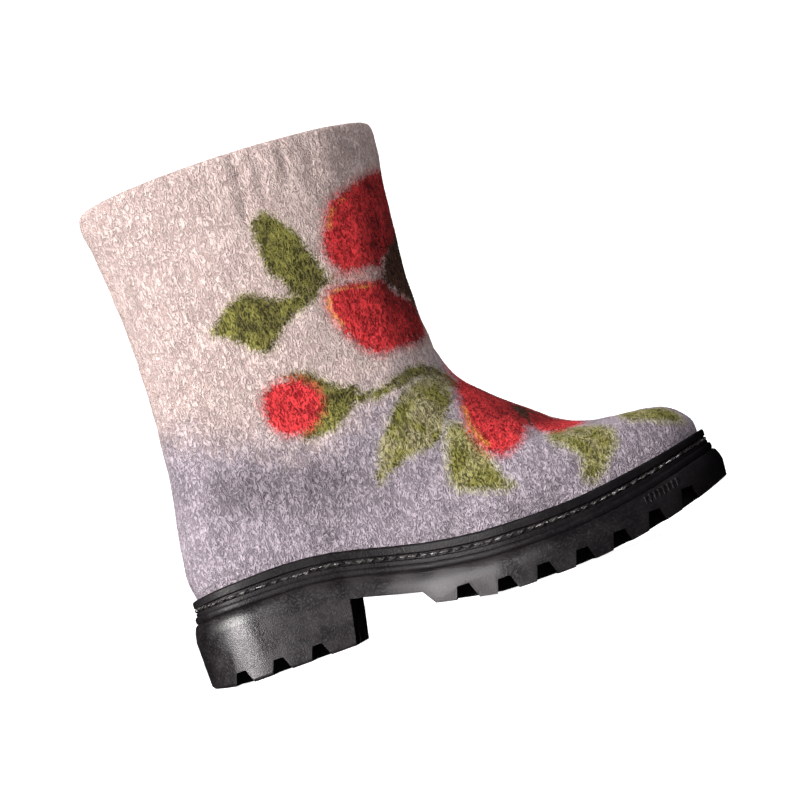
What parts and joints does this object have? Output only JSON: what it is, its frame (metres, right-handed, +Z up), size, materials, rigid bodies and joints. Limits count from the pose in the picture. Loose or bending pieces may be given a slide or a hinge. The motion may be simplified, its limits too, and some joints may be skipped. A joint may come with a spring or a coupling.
{
  "type": "felt boot",
  "caption": "Ankle-high seamless felt boot on a lugged rubber outsole with a block heel, a sewn rubber rand and an insole; right foot, stands empty on its sole.",
  "frame": {"origin": "centre of the boot's bounding box, on the floor it stands on", "axes": "+X along the foot towards the toe, +Y towards the inner side of the foot, +Z up the shaft"},
  "size_m": [0.2834, 0.111, 0.2537],
  "materials": {
    "felt": "matte",
    "insole_felt": "matte",
    "rand_rubber": "satin",
    "sole_rubber": "satin"
  },
  "bodies": {
    "root": {"upper": "felt", "insole": "insole_felt", "rand": "rand_rubber", "midsole": "rand_rubber", "outsole": "sole_rubber", "heel": "sole_rubber"}
  },
  "joints": []
}
